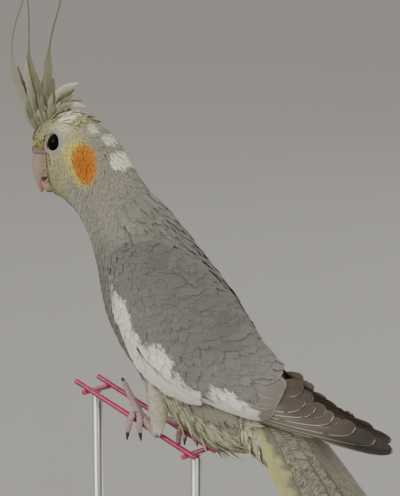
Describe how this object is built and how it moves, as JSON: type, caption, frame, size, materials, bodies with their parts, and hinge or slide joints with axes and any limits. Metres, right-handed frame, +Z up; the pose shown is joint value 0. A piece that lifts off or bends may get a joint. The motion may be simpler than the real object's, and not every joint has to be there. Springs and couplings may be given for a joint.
{
  "type": "cockatiel display model",
  "caption": "Life-size still model of a grey cockatiel with raised crest, folded wings and hanging tail, gripping wires on a flat display stand.",
  "frame": {"origin": "middle of the underside of the stand's base", "axes": "+Z up, +X from the bird's face towards its tail, +Y towards the bird's right side"},
  "size_m": [0.2251, 0.1, 0.2913],
  "materials": {
    "plumage_grey": "soft matte feathers",
    "plumage_face": "soft matte pale feathers",
    "bill_horn": "satin horn",
    "eye_black": "wet gloss",
    "foot_skin": "scaled matte skin",
    "claw_dark": "satin horn",
    "wire_pink": "glossy coating",
    "stand_wood": "satin varnish",
    "stand_steel": "brushed"
  },
  "bodies": {
    "root": {"head": "plumage_face", "bill_upper": "bill_horn", "bill_lower": "bill_horn", "eye_left": "eye_black", "eye_right": "eye_black", "crest": "plumage_face", "neck": "plumage_grey", "torso": "plumage_grey", "wing_left": "plumage_grey", "wing_right": "plumage_grey", "tail": "plumage_grey", "thigh_left": "plumage_grey", "thigh_right": "plumage_grey", "foot_left": "foot_skin", "foot_right": "foot_skin", "claw_left1": "claw_dark", "claw_left2": "claw_dark", "claw_left3": "claw_dark", "claw_left4": "claw_dark", "claw_right1": "claw_dark", "claw_right2": "claw_dark", "claw_right3": "claw_dark", "claw_right4": "claw_dark", "perch_wires": "wire_pink", "stand_base": "stand_wood", "stand_rod_front": "stand_steel", "stand_rod_rear": "stand_steel"}
  },
  "joints": []
}
